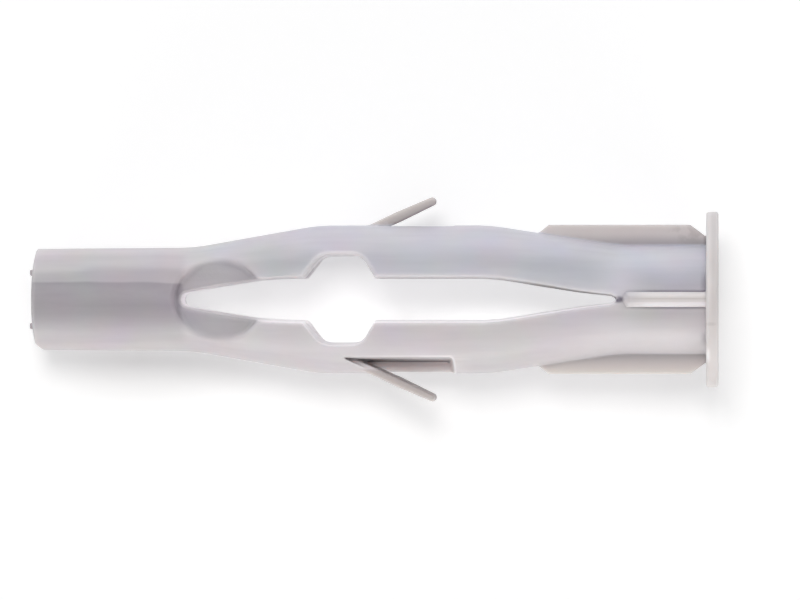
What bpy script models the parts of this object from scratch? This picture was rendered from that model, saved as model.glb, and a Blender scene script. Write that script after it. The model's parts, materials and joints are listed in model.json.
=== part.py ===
"""Nylon wall plug with a collar, moulded in one piece: a part source for Blender 4.5, in metres.

The plug is built along its own axis, from the nose at x = 0 to the outer face of the collar, with the two legs
bowed out along y and the mould opening along z. But for the cut corner of its nose, it looks the same when it
is turned half a turn about its axis. An empty then lays it down as it rests on a table: on the rim of the nose
and the edge of the collar.
"""

import math

import bmesh
import bpy
import numpy as np
from mathutils import Matrix

MM = 0.001

# Lengths of the stretches along the axis, from the nose to the collar
BARREL_LENGTH = 11.7 * MM
SPREAD_LENGTH = 9.1 * MM
BELLY_LENGTH = 12.6 * MM
CLOSING_LENGTH = 9.2 * MM
NECK_LENGTH = 6.5 * MM
COLLAR_THICKNESS = 0.9 * MM

# Round body: the barrel tapers a little towards the nose
NOSE_RADIUS = 3.72 * MM
BARREL_RADIUS = 3.8 * MM
NECK_RADIUS = 3.95 * MM
NOSE_DOME = 0.16 * MM
NOSE_DOME_WIDTH = 1.2 * MM
NOSE_ROUNDING = 0.2 * MM
CORNER_CUT_START = 2.95 * MM
CORNER_CUT_LENGTH = 0.72 * MM
COLLAR_RADIUS = 6.4 * MM
COLLAR_CHAMFER = 0.2 * MM

# The legs: how far each stands off the axis, and how long the easing at each bend is to either side
BOW = 1.46 * MM
BOW_EASING = 1.2 * MM

# Screw hole: wide in the neck, narrow in the barrel where the screw bites
NECK_BORE_RADIUS = 2.3 * MM
BARREL_BORE_RADIUS = 1.5 * MM
MOUTH_RADIUS = 2.8 * MM
MOUTH_LENGTH = 1.2 * MM

# Gap between the legs, narrowest halfway through the plug, where the two halves of the mould met
SLOT_LEAD = 0.7 * MM
SLOT_TIP_RADIUS = 0.37 * MM
SLOT_TIP_OPENING = math.radians(10)
SLOT_FRONT_HALF_WIDTH = 1.64 * MM
SLOT_HALF_WIDTH = 1.57 * MM
SLOT_END_HALF_WIDTH = 0.06 * MM
SLOT_FRONT_POWER = 1.7
SLOT_BACK_POWER = 0.85
SLOT_DRAFT = math.radians(3.5)

# Notch that thins each leg so that it can fold
NOTCH_LEAD = 0.75 * MM
NOTCH_DEPTH = 1.5 * MM
NOTCH_FRONT_RUN = 1.5 * MM
NOTCH_FLOOR = 2.6 * MM
NOTCH_BACK_RUN = 0.9 * MM
NOTCH_CORNER_RADIUS = 0.5 * MM

# Round flat recesses over the start of the gap
DIMPLE_RADIUS = 2.92 * MM
DIMPLE_OFFSET = 2.75 * MM
DIMPLE_DEPTH = 1.1 * MM

# Barbs, and the pockets that they fold into
POCKET_SETBACK = 1.9 * MM
POCKET_LENGTH = 8.0 * MM
POCKET_DEPTH = 1.2 * MM
POCKET_SLANT = 0.35 * MM
POCKET_UNDERCUT = 0.6 * MM
POCKET_DRAFT = math.radians(5.5)
BARB_LENGTH = 7.4 * MM
BARB_THICKEST_AT = 4.4 * MM
BARB_THICKNESS = 0.8 * MM
BARB_END_THICKNESS = 0.64 * MM
BARB_WIDTH = 2.05 * MM
BARB_CLEARANCE = 0.25 * MM
BARB_ANGLE = math.radians(24.5)

# Fins beside the neck, which stop the plug from turning in its hole
FIN_LEAD = 5.7 * MM
FIN_SINK = 0.06 * MM
FIN_RAMP = 0.75 * MM
FIN_HEIGHT = 1.49 * MM
FIN_END_HEIGHT = 0.62 * MM
FIN_END_RUN = 1.15 * MM
FIN_THICKNESS = 1.0 * MM

# Low ribs on the neck, above and below
RIB_SETBACK = 0.35 * MM
RIB_WIDTH = 1.1 * MM
RIB_HEIGHT = 0.4 * MM
RIB_POINT = 0.55 * MM
RIB_TIP_WIDTH = 0.1 * MM
RIB_BEVEL = 0.22 * MM

# Moulding remnants on the nose
NUB_RADIUS = 0.23 * MM
NUB_HEIGHT = 0.4 * MM
NUB_FROM_BORE = 0.45 * MM

# How far joined shapes run into each other, how far cutters run past the surface, and what counts as one point
OVERLAP = 0.35 * MM
CLEAR = 1.0 * MM
MERGE_DISTANCE = 0.001 * MM

# Sides of the round shapes: multiples of four, so that a corner of the body faces straight down, where the
# plug rests. What crosses that edge has no corner of its own on it: two corners on one line make a poor joint.
BODY_SIDES = 60
BORE_SIDES = 36
DIMPLE_SIDES = 48
CORNER_STEPS = 5
BEND_STEPS = 17

# Edges that turn by more than this stay crisp
SHARP_ANGLE = math.radians(30)

# Stations along the axis that several features share
SLOT_START = BARREL_LENGTH - SLOT_LEAD
SPREAD_END = BARREL_LENGTH + SPREAD_LENGTH
CLOSING_START = SPREAD_END + BELLY_LENGTH
SLOT_END = CLOSING_START + CLOSING_LENGTH
COLLAR_FACE = SLOT_END + NECK_LENGTH
PLUG_END = COLLAR_FACE + COLLAR_THICKNESS
NOTCH_START = SPREAD_END - NOTCH_LEAD
POCKET_START = SPREAD_END + POCKET_SETBACK
POCKET_WALL = BOW + NECK_RADIUS - POCKET_DEPTH


def eased_ramp(distance):
    """Zero before the bend and the distance itself after it, with a parabola between."""
    curve = (distance + BOW_EASING) ** 2 / (4 * BOW_EASING)
    return np.where(distance < -BOW_EASING, 0.0, np.where(distance > BOW_EASING, distance, curve))


def bow(x):
    """How far each leg's own axis stands off the plug's axis at a station."""
    rise = (eased_ramp(x - BARREL_LENGTH) - eased_ramp(x - SPREAD_END)) / SPREAD_LENGTH
    fall = (eased_ramp(x - CLOSING_START) - eased_ramp(x - SLOT_END)) / CLOSING_LENGTH
    return BOW * (rise - fall)


def body_radius(x):
    """Outer radius of the round section: it grows a little along the barrel, and again as the legs spread."""
    return np.interp(x, [0.0, BARREL_LENGTH, SPREAD_END], [NOSE_RADIUS, BARREL_RADIUS, NECK_RADIUS])


def bend_stations():
    """Stations close together where the legs bend, and none where they run straight."""
    spread = np.linspace(BARREL_LENGTH - BOW_EASING, SPREAD_END + BOW_EASING, BEND_STEPS)
    closing = np.linspace(CLOSING_START - BOW_EASING, SLOT_END + BOW_EASING, BEND_STEPS)
    return np.concatenate([spread, closing])


def rounded_corner(before, corner, after, radius):
    """Points of the arc that rounds a corner between two straight runs."""
    corner = np.array(corner)
    back = np.array(before) - corner
    ahead = np.array(after) - corner
    back /= np.linalg.norm(back)
    ahead /= np.linalg.norm(ahead)
    half_angle = math.acos(float(back @ ahead)) / 2
    middle = (back + ahead) / np.linalg.norm(back + ahead)
    centre = corner + middle * radius / math.sin(half_angle)
    swing = math.pi / 2 - half_angle
    side = np.array([-middle[1], middle[0]]) * np.sign(middle[0] * back[1] - middle[1] * back[0])
    turns = np.linspace(swing, -swing, CORNER_STEPS)
    return [tuple(centre - radius * (middle * math.cos(a) - side * math.sin(a))) for a in turns]


def notch_edge():
    """Points along the fold notch in one leg: a sloped front wall, a rounded floor and a steep back wall."""
    floor_start = NOTCH_START + NOTCH_FRONT_RUN
    floor_end = floor_start + NOTCH_FLOOR
    floor_y = SLOT_HALF_WIDTH + NOTCH_DEPTH
    front = (NOTCH_START, SLOT_FRONT_HALF_WIDTH)
    back = (floor_end + NOTCH_BACK_RUN, SLOT_HALF_WIDTH)
    corners = [(floor_start, floor_y), (floor_end, floor_y)]
    points = rounded_corner(front, corners[0], corners[1], NOTCH_CORNER_RADIUS)
    points += rounded_corner(corners[0], corners[1], back, NOTCH_CORNER_RADIUS)
    return points + [back]


def slot_edge(grow):
    """Points along one wall of the gap between the legs, from its round start to its narrow end."""
    turn = np.linspace(SLOT_TIP_OPENING, math.pi / 2, 5)
    radius = SLOT_TIP_RADIUS + grow
    front_start = SLOT_START + SLOT_TIP_RADIUS
    tip = [(front_start - radius * math.cos(a), radius * math.sin(a)) for a in turn]
    share = np.linspace(0.0, 1.0, 12)[1:]
    front_x = front_start + (NOTCH_START - front_start) * share
    widening = SLOT_FRONT_HALF_WIDTH - SLOT_TIP_RADIUS
    front_y = SLOT_TIP_RADIUS + widening * (1 - (1 - share) ** SLOT_FRONT_POWER)
    wall = list(zip(front_x, front_y)) + notch_edge()
    share = np.linspace(1.0, 0.0, 11)
    narrowing = SLOT_HALF_WIDTH - SLOT_END_HALF_WIDTH
    back_y = SLOT_END_HALF_WIDTH + narrowing * share**SLOT_BACK_POWER
    wall += list(zip(SLOT_END - CLOSING_LENGTH * share, back_y))
    return tip + [(x, y + grow) for x, y in wall]


def clear_scene():
    """Removes what the startup file holds."""
    for obj in list(bpy.data.objects):
        bpy.data.objects.remove(obj)


def new_collection(name):
    """A collection in the scene."""
    collection = bpy.data.collections.new(name)
    bpy.context.scene.collection.children.link(collection)
    return collection


def add_mesh_object(name, shape, collection):
    """Makes an object from a bmesh, with its faces turned outwards."""
    bmesh.ops.recalc_face_normals(shape, faces=shape.faces)
    mesh = bpy.data.meshes.new(name)
    shape.to_mesh(mesh)
    shape.free()
    mesh.shade_smooth()
    mesh.set_sharp_from_angle(angle=SHARP_ANGLE)
    obj = bpy.data.objects.new(name, mesh)
    collection.objects.link(obj)
    return obj


def split_round_ring(x, radius, spread, sides):
    """A round section in two halves that stand off the axis by spread, joined by flats above and below."""
    angle = np.linspace(-math.pi / 2, math.pi / 2, sides // 2 + 1)
    y = spread + radius * np.cos(angle)
    z = radius * np.sin(angle)
    half = list(zip(y, z))
    return [(x, y_here, z_here) for y_here, z_here in half + [(-y_here, -z_here) for y_here, z_here in half]]


def loft(name, rings, collection):
    """Skins closed rings of equal count, caps both ends, and merges the corners of the halves that meet."""
    shape = bmesh.new()
    rows = [[shape.verts.new(point) for point in ring] for ring in rings]
    for lower, upper in zip(rows, rows[1:]):
        for here, after in zip(range(len(lower)), [*range(1, len(lower)), 0]):
            shape.faces.new((lower[here], lower[after], upper[after], upper[here]))
    shape.faces.new(rows[0])
    shape.faces.new(rows[-1])
    bmesh.ops.remove_doubles(shape, verts=shape.verts, dist=MERGE_DISTANCE)
    return add_mesh_object(name, shape, collection)


def flat_piece(name, outline, low, high, collection):
    """A flat outline in x and y, filled and given thickness from low to high along z."""
    curve = bpy.data.curves.new(name, "CURVE")
    curve.dimensions = "2D"
    curve.fill_mode = "BOTH"
    curve.extrude = (high - low) / 2
    spline = curve.splines.new("POLY")
    spline.points.add(len(outline) - 1)
    for point, (x, y) in zip(spline.points, outline):
        point.co = (x, y, 0.0, 1.0)
    spline.use_cyclic_u = True
    guide = bpy.data.objects.new(name, curve)
    collection.objects.link(guide)
    filled = guide.evaluated_get(bpy.context.evaluated_depsgraph_get())
    shape = bmesh.new()
    shape.from_mesh(bpy.data.meshes.new_from_object(filled))
    bpy.data.objects.remove(guide)
    bmesh.ops.remove_doubles(shape, verts=shape.verts, dist=MERGE_DISTANCE)
    bmesh.ops.translate(shape, verts=shape.verts, vec=(0.0, 0.0, (low + high) / 2))
    return add_mesh_object(name, shape, collection)


def turned_half(points):
    """The same outline after half a turn about the plug's axis."""
    return [(x, -y) for x, y in points]


def make_body(collection):
    """The round body with its bowed legs, still solid, from the low dome of the nose to inside the collar."""
    rings = [split_round_ring(0.0, NOSE_RADIUS - NOSE_DOME_WIDTH, 0.0, BODY_SIDES)]
    for a in np.linspace(0.0, math.pi / 2, 4):
        x = NOSE_DOME + NOSE_ROUNDING * (1 - math.cos(a))
        radius = float(body_radius(x)) - NOSE_ROUNDING * (1 - math.sin(a))
        rings.append(split_round_ring(x, radius, 0.0, BODY_SIDES))
    for x in bend_stations():
        rings.append(split_round_ring(x, body_radius(x), bow(x), BODY_SIDES))
    rings.append(split_round_ring(COLLAR_FACE + COLLAR_THICKNESS / 2, NECK_RADIUS, 0.0, BODY_SIDES))
    return loft("plug_body", rings, collection)


def make_corner_cut(collection):
    """The wedge that cuts the rim of the nose off straight on its -y side, as worn or trimmed there."""
    outline = [
        (-CORNER_CUT_LENGTH, NOSE_RADIUS - 2 * CORNER_CUT_START),
        (-CORNER_CUT_LENGTH, CORNER_CUT_START - 2 * NOSE_RADIUS),
        (2 * CORNER_CUT_LENGTH, CORNER_CUT_START - 2 * NOSE_RADIUS),
    ]
    return flat_piece("corner_cut", outline, -NOSE_RADIUS, NOSE_RADIUS, collection)


def make_channel(collection):
    """The screw hole: it follows both legs, so that each carries half of it as a groove."""
    stations = np.concatenate([[-NUB_HEIGHT - CLEAR], bend_stations(), [PLUG_END - MOUTH_LENGTH]])
    widths = np.interp(stations, [BARREL_LENGTH, SLOT_END], [BARREL_BORE_RADIUS, NECK_BORE_RADIUS])
    rings = [split_round_ring(x, r, bow(x), BORE_SIDES) for x, r in zip(stations, widths)]
    rings.append(split_round_ring(PLUG_END, MOUTH_RADIUS, 0.0, BORE_SIDES))
    rings.append(split_round_ring(PLUG_END + CLEAR, MOUTH_RADIUS, 0.0, BORE_SIDES))
    return loft("channel", rings, collection)


def make_slot(collection):
    """The gap between the legs with its fold notches, right through the plug, with walls that lean apart."""
    reach = NECK_RADIUS + RIB_HEIGHT + CLEAR
    rings = []
    for z in (-reach, 0.0, reach):
        edge = slot_edge(abs(z) * math.tan(SLOT_DRAFT))
        rings.append([(x, y, z) for x, y in edge + turned_half(edge[::-1])])
    return loft("slot", rings, collection)


def make_dimple(side, collection):
    """A round flat recess on one face, side +1 above and -1 below, with a flat and no corner over the axis."""
    centre = SLOT_START + DIMPLE_OFFSET
    floor = float(body_radius(centre)) - DIMPLE_DEPTH
    height = DIMPLE_DEPTH + CLEAR
    place = Matrix.Translation((centre, 0.0, side * (floor + height / 2)))
    shape = bmesh.new()
    bmesh.ops.create_cone(
        shape,
        cap_ends=True,
        segments=DIMPLE_SIDES,
        radius1=DIMPLE_RADIUS,
        radius2=DIMPLE_RADIUS,
        depth=height,
        matrix=place @ Matrix.Rotation(math.pi / DIMPLE_SIDES, 4, "Z"),
    )
    return add_mesh_object("dimple", shape, collection)


def barb_point(along, across):
    """A point of the barb's outline: along it from its root, and across it from its middle."""
    x = POCKET_START + along * math.cos(BARB_ANGLE) - across * math.sin(BARB_ANGLE)
    y = POCKET_WALL + along * math.sin(BARB_ANGLE) + across * math.cos(BARB_ANGLE)
    return (x, y)


def pocket_outline(depth):
    """The pocket's outline at a depth below its mouth: its wall and its end lean in towards the floor."""
    lean = depth * math.tan(POCKET_DRAFT)
    past = POCKET_DEPTH + CLEAR
    end = POCKET_START + POCKET_LENGTH - lean
    return [
        barb_point(lean / math.sin(BARB_ANGLE), 0.0),
        (end, POCKET_WALL + lean),
        (end + POCKET_SLANT * past / POCKET_DEPTH, POCKET_WALL + past),
        barb_point(past / math.sin(BARB_ANGLE), 0.0),
    ]


def make_pocket(side, collection):
    """The recess a barb folds into: open outwards, and above for the leg at -y or below for the one at +y."""
    reach = NECK_RADIUS + CLEAR
    mouth = math.sqrt(NECK_RADIUS**2 - (POCKET_WALL - BOW) ** 2)
    rings = []
    for z in (POCKET_UNDERCUT, -reach):
        outline = pocket_outline(mouth + z)
        rings.append([(x, side * y, side * z) for x, y in outline])
    return loft("pocket", rings, collection)


def make_barb(side, collection):
    """A springy barb that leans back towards the collar, rooted in the front end of its pocket."""
    half = BARB_END_THICKNESS / 2
    outline = [barb_point(-OVERLAP, half), barb_point(-OVERLAP, -half)]
    outline.append(barb_point(BARB_THICKEST_AT, -BARB_THICKNESS / 2))
    turn = np.linspace(-math.pi / 2, math.pi / 2, 7)
    outline += [barb_point(BARB_LENGTH - half + half * math.cos(a), half * math.sin(a)) for a in turn]
    outline.append(barb_point(BARB_THICKEST_AT, BARB_THICKNESS / 2))
    far = POCKET_UNDERCUT - BARB_CLEARANCE
    if side > 0:
        return flat_piece("barb", outline, far - BARB_WIDTH, far, collection)
    return flat_piece("barb", turned_half(outline), -far, BARB_WIDTH - far, collection)


def make_fin(side, collection):
    """A flat fin that rises out of the closing legs, from just under their skin, and runs into the collar."""
    start = SLOT_END - FIN_LEAD
    under_skin = float(body_radius(start) + bow(start)) - FIN_SINK
    crest = NECK_RADIUS + FIN_HEIGHT
    root = NECK_RADIUS - OVERLAP
    outline = [
        (start, root),
        (start, under_skin),
        (start + FIN_RAMP, crest),
        (COLLAR_FACE - FIN_END_RUN, crest),
        (COLLAR_FACE, NECK_RADIUS + FIN_END_HEIGHT),
        (COLLAR_FACE + COLLAR_THICKNESS / 2, NECK_RADIUS + FIN_END_HEIGHT),
        (COLLAR_FACE + COLLAR_THICKNESS / 2, root),
    ]
    if side < 0:
        outline = turned_half(outline)
    return flat_piece("fin", outline, -FIN_THICKNESS / 2, FIN_THICKNESS / 2, collection)


def rib_outline(inset):
    """The rib's outline from above: drawn in by inset, with a blunt point where the gap between the legs ends."""
    start = SLOT_END + RIB_SETBACK + inset
    end = COLLAR_FACE + COLLAR_THICKNESS / 2
    half = RIB_WIDTH / 2 - inset
    corners = [(start, RIB_TIP_WIDTH / 2), (start + RIB_POINT, half), (end, half)]
    return corners + turned_half(corners[::-1])


def make_rib(side, collection):
    """A low rib with bevelled edges along the neck, above or below."""
    crest = NECK_RADIUS + RIB_HEIGHT
    rings = []
    for z, inset in ((NECK_RADIUS - OVERLAP, 0.0), (crest - RIB_BEVEL, 0.0), (crest, RIB_BEVEL)):
        rings.append([(x, y, side * z) for x, y in rib_outline(inset)])
    return loft("rib", rings, collection)


def make_nub(side, collection):
    """A small peg left on the nose by the mould."""
    depth = NUB_HEIGHT + OVERLAP
    place = Matrix.Translation((-NUB_HEIGHT + depth / 2, side * (BARREL_BORE_RADIUS + NUB_FROM_BORE), 0.0))
    shape = bmesh.new()
    bmesh.ops.create_cone(
        shape,
        cap_ends=True,
        segments=12,
        radius1=NUB_RADIUS,
        radius2=NUB_RADIUS,
        depth=depth,
        matrix=place @ Matrix.Rotation(math.pi / 2, 4, "Y"),
    )
    return add_mesh_object("nub", shape, collection)


def make_collar(collection):
    """The thin round collar, turned from its profile."""
    half = COLLAR_THICKNESS / 2
    profile = [
        (0.0, half),
        (COLLAR_RADIUS - COLLAR_CHAMFER, half),
        (COLLAR_RADIUS, half - COLLAR_CHAMFER),
        (COLLAR_RADIUS, -half + COLLAR_CHAMFER),
        (COLLAR_RADIUS - COLLAR_CHAMFER, -half),
        (0.0, -half),
    ]
    mesh = bpy.data.meshes.new("collar")
    edges = [(i, i + 1) for i in range(len(profile) - 1)]
    mesh.from_pydata([(r, 0.0, z) for r, z in profile], edges, [])
    collar = bpy.data.objects.new("collar", mesh)
    collection.objects.link(collar)
    screw = collar.modifiers.new("turned", "SCREW")
    screw.steps = BODY_SIDES
    screw.render_steps = BODY_SIDES
    screw.use_merge_vertices = True
    screw.merge_threshold = MERGE_DISTANCE
    place = Matrix.Translation((COLLAR_FACE + half, 0.0, 0.0))
    collar.matrix_basis = place @ Matrix.Rotation(math.pi / 2, 4, "Y")
    return collar


def combine(body, helper, operation):
    """Joins a helper to the body or cuts it away, with an exact boolean."""
    step = body.modifiers.new(f"{operation.lower()} {helper.name}", "BOOLEAN")
    step.operation = operation
    step.solver = "EXACT"
    step.object = helper
    helper.display_type = "WIRE"
    helper.hide_render = True


def nylon():
    """Light grey nylon, satin where the mould was polished."""
    material = bpy.data.materials.new("grey_nylon")
    material.use_nodes = True
    surface = material.node_tree.nodes["Principled BSDF"]
    surface.inputs["Base Color"].default_value = (0.56, 0.54, 0.58, 1.0)
    surface.inputs["Roughness"].default_value = 0.45
    surface.inputs["Metallic"].default_value = 0.0
    return material


def lay_down(pieces):
    """Tilts everything until nose and collar touch the table, with the middle of the plug over the origin."""
    nose_x = NOSE_DOME + NOSE_ROUNDING
    collar_x = COLLAR_FACE + COLLAR_CHAMFER
    tilt = math.atan2(COLLAR_RADIUS - float(body_radius(nose_x)), collar_x - nose_x)
    turn = Matrix.Rotation(-tilt, 4, "Y")
    rest = bpy.data.objects.new("rest", None)
    bpy.context.scene.collection.objects.link(rest)
    for piece in pieces:
        piece.parent = rest
    bpy.context.view_layer.update()
    body = pieces[0].evaluated_get(bpy.context.evaluated_depsgraph_get())
    corners = np.array([turn @ vertex.co for vertex in body.data.vertices])
    low = corners.min(axis=0)
    high = corners.max(axis=0)
    middle = (low + high) / 2
    rest.matrix_basis = Matrix.Translation((-middle[0], -middle[1], -low[2])) @ turn


def build():
    """Makes the plug: the body with what stands out from it, then the recesses, the gap and the screw hole."""
    clear_scene()
    shown = new_collection("wall_plug")
    helpers = new_collection("cutters_and_additions")
    helpers.hide_render = True
    body = make_body(shown)
    body.data.materials.append(nylon())
    steps = [(make_pocket(side, helpers), "DIFFERENCE") for side in (1, -1)]
    steps += [(make_barb(side, helpers), "UNION") for side in (1, -1)]
    steps += [(make_fin(side, helpers), "UNION") for side in (1, -1)]
    steps += [(make_rib(side, helpers), "UNION") for side in (1, -1)]
    steps += [(make_nub(side, helpers), "UNION") for side in (1, -1)]
    steps.append((make_collar(helpers), "UNION"))
    steps.append((make_corner_cut(helpers), "DIFFERENCE"))
    steps += [(make_dimple(side, helpers), "DIFFERENCE") for side in (1, -1)]
    steps.append((make_slot(helpers), "DIFFERENCE"))
    steps.append((make_channel(helpers), "DIFFERENCE"))
    for helper, operation in steps:
        combine(body, helper, operation)
    lay_down([body, *(helper for helper, _ in steps)])


build()
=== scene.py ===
# %% [markdown]
# # The looks of a nylon wall plug
#
# The real plug is one moulding of grey nylon: a barrel nose, two bowed legs with a gap between them, a barb
# and a pocket on each leg, fins and ribs on the neck, and a thin collar. The imported CAD model holds its
# true sizes and stays as the frame. This script adds what a CAD solid leaves out: the soft rounded edges of
# a moulding, the small fillets where one form grows out of another, the walls that lean so that the mould
# can open, and the finish of the nylon. First the frame is loaded.

# %% Load the frame
import json
import math

import bpy
import numpy as np
from mathutils import Matrix, Vector


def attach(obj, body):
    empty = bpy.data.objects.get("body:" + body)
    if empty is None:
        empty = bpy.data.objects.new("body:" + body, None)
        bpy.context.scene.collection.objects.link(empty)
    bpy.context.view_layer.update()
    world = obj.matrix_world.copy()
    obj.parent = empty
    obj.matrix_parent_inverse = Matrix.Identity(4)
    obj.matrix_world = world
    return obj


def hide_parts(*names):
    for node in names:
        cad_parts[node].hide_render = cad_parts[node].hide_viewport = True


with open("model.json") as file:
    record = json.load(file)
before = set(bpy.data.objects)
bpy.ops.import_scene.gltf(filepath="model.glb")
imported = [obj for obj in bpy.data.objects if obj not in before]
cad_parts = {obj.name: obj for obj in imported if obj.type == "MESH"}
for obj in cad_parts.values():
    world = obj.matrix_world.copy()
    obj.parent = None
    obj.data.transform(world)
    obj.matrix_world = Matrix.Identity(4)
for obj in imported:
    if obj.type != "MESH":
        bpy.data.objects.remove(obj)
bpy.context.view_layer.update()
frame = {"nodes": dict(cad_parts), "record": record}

# %% [markdown]
# ## The plug's own frame
#
# The plug lies tilted, on the rim of its nose and the edge of its collar. Its shape is far easier to write
# down along its own axis: x runs from the nose to the collar, the legs bow out along y, and the mould
# opened along z. The record's mount on the collar gives the direction of the axis, and the CAD vertices,
# turned level, give its place: the collar reaches as far below the axis as above it, and the plug ends at
# its outer face.

# %% Measure the tilt and the axis
MM = 0.001
PLUG_END = 50.0
COLLAR_RADIUS = 6.4

axis = next(m["axis"] for m in frame["record"]["mounts"] if m["name"] == "collar_front")
tilt = math.atan2(axis[2], axis[0])
cad_node = frame["nodes"]["plug_body"]
cad_points = np.empty(3 * len(cad_node.data.vertices))
cad_node.data.vertices.foreach_get("co", cad_points)
cad_points = cad_points.reshape(-1, 3) / MM


def turned(points, angle):
    """Points turned about y: x and z mixed by the cosine and sine of the angle."""
    x, y, z = points.T
    c, s = math.cos(angle), math.sin(angle)
    return np.stack([x * c + z * s, y, z * c - x * s], axis=1)


level = turned(cad_points, tilt)
axis_start = np.array([level[:, 0].max() - PLUG_END, 0.0, (level[:, 2].max() + level[:, 2].min()) / 2])
cad_level = level - axis_start
print("the axis is tilted by", round(math.degrees(tilt), 3), "degrees")
print("the nose face lies at", axis_start.round(3), "mm in the levelled frame")


def to_world(points):
    """Points of the plug's frame, in mm, laid down on the table, in metres."""
    return turned(points + axis_start, -tilt) * MM


# %% [markdown]
# ## The sizes
#
# These are the sizes of the part's source, in millimetres. They are written once here, and the shapes below
# are functions of them.

# %% Sizes along the axis and across it
BARREL_LENGTH = 11.7
SPREAD_LENGTH = 9.1
BELLY_LENGTH = 12.6
CLOSING_LENGTH = 9.2
NECK_LENGTH = 6.5
COLLAR_THICKNESS = 0.9
SPREAD_END = BARREL_LENGTH + SPREAD_LENGTH
CLOSING_START = SPREAD_END + BELLY_LENGTH
SLOT_END = CLOSING_START + CLOSING_LENGTH
COLLAR_FACE = SLOT_END + NECK_LENGTH
NOSE_RADIUS = 3.72
BARREL_RADIUS = 3.8
NECK_RADIUS = 3.95
BOW = 1.46
BOW_EASING = 1.2
print("the stretches end at", BARREL_LENGTH, SPREAD_END, CLOSING_START, SLOT_END, COLLAR_FACE, "mm")

# %% [markdown]
# ## How a moulding is written as a distance
#
# A loft or a grid of two parameters suits a vase or a cushion, and cutters with a Bevel modifier suit a
# machined block. This plug is neither: it is a single skin with slots, pockets and fillets that run into
# each other on curved walls, where bevels break. So each form is written as a distance instead: a function
# of a point that is negative inside the form, zero on its skin and positive outside. The smaller of two
# distances joins two forms, and the larger of one and another's negative cuts one away. A small change to
# those two rules rounds the line where the forms meet, which is just what a mould maker's radius does.

# %% Rounded ways to join and cut
def joined(a, b, radius):
    """Two forms in one: the smaller distance, and where both are under the radius a quarter circle."""
    fillet = np.hypot(np.maximum(radius - a, 0), np.maximum(radius - b, 0))
    return np.maximum(radius, np.minimum(a, b)) - fillet


def shared(a, b, radius):
    """What two forms share: the larger distance, and near both skins a quarter circle."""
    rounding = np.hypot(np.maximum(radius + a, 0), np.maximum(radius + b, 0))
    return np.minimum(-radius, np.maximum(a, b)) + rounding


def cut(a, b, radius):
    """The first form without the second, with a rounded edge along the cut."""
    return shared(a, -b, radius)


print("a fillet of 1 mm stands", round(-float(joined(0.0, 0.0, 1.0)), 3), "mm out of a square corner")

# %% [markdown]
# Flat outlines, such as the gap between the legs seen from above, need the distance to a closed line of
# corners. It is the distance to the nearest edge, negative where a ray from the point crosses the line an
# odd number of times. The loop runs over the edges, never over the points.

# %% Distance to a flat outline
def outline_distance(x, y, corners):
    """Smallest distance from each point to the edges, made negative inside by counting crossings."""
    nearest = np.full(np.broadcast_shapes(np.shape(x), np.shape(y)), np.inf, np.float32)
    inside = np.zeros(nearest.shape, bool)
    for (x0, y0), (x1, y1) in zip(corners, np.roll(corners, -1, axis=0)):
        ex, ey = x1 - x0, y1 - y0
        share = np.clip(((x - x0) * ex + (y - y0) * ey) / (ex * ex + ey * ey), 0, 1)
        nearest = np.minimum(nearest, np.hypot(x - x0 - share * ex, y - y0 - share * ey))
        if ey:
            inside ^= ((y0 > y) != (y1 > y)) & (x < x0 + ex * (y - y0) / ey)
    return np.where(inside, -nearest, nearest)


# %% [markdown]
# ## The round body and its bowed legs
#
# Along the barrel the section is a circle. Where the legs spread, it parts into two half circles that stand
# off the axis, joined by flats, and on the neck they close again. One formula gives all of it: the point is
# folded to one side, moved back by the bow of the leg, and measured from the leg's own axis. The bow is a
# ramp up and a ramp down, each eased at both bends, because a moulded leg has no kink. The nose is a low
# dome with a rounded rim, cut off straight at one corner as the photograph shows.

# %% Bow and body
def eased_ramp(distance):
    """Zero before the bend and the distance itself after it, with a parabola between."""
    curve = (distance + BOW_EASING) ** 2 / (4 * BOW_EASING)
    return np.where(distance < -BOW_EASING, 0.0, np.where(distance > BOW_EASING, distance, curve))


def bow(x):
    """How far each leg's axis stands off the plug's axis: one eased ramp up, one down."""
    rise = (eased_ramp(x - BARREL_LENGTH) - eased_ramp(x - SPREAD_END)) / SPREAD_LENGTH
    fall = (eased_ramp(x - CLOSING_START) - eased_ramp(x - SLOT_END)) / CLOSING_LENGTH
    return BOW * (rise - fall)


def body_radius(x):
    """Radius of the round section, which grows along the barrel and again as the legs spread."""
    return np.interp(x, [0.0, BARREL_LENGTH, SPREAD_END], [NOSE_RADIUS, BARREL_RADIUS, NECK_RADIUS])


print("the legs stand off the axis by", round(float(bow(27.0)), 3), "mm at the belly")

# %% Nose
DOME_DEPTH = 0.16
DOME_START = 1.2
DOME_WIDTH = 1.0
NOSE_ROUNDING = 0.14
CUT_ALONG, CUT_ACROSS = 0.77, 0.72
CUT_OFFSET = 3.02
CUT_ROUNDING = 0.05


def body_distance(x, y, z):
    """Distance from the leg's own axis less the radius, shared with the domed nose and the collar's end."""
    from_axis = np.hypot(np.maximum(np.abs(y) - bow(x), 0), z)
    rim = np.clip((from_axis - NOSE_RADIUS + DOME_START) / DOME_WIDTH, 0, 1)
    nose = DOME_DEPTH * rim * rim - x
    body = shared(from_axis - body_radius(x), nose, NOSE_ROUNDING)
    corner = (-CUT_ALONG * x - CUT_ACROSS * (y + CUT_OFFSET)) / math.hypot(CUT_ALONG, CUT_ACROSS)
    body = shared(body, corner, CUT_ROUNDING)
    return np.maximum(body, x - COLLAR_FACE - COLLAR_THICKNESS / 2)


print("the nose face is flat over", round(2 * (NOSE_RADIUS - DOME_START), 2), "mm")

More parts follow.
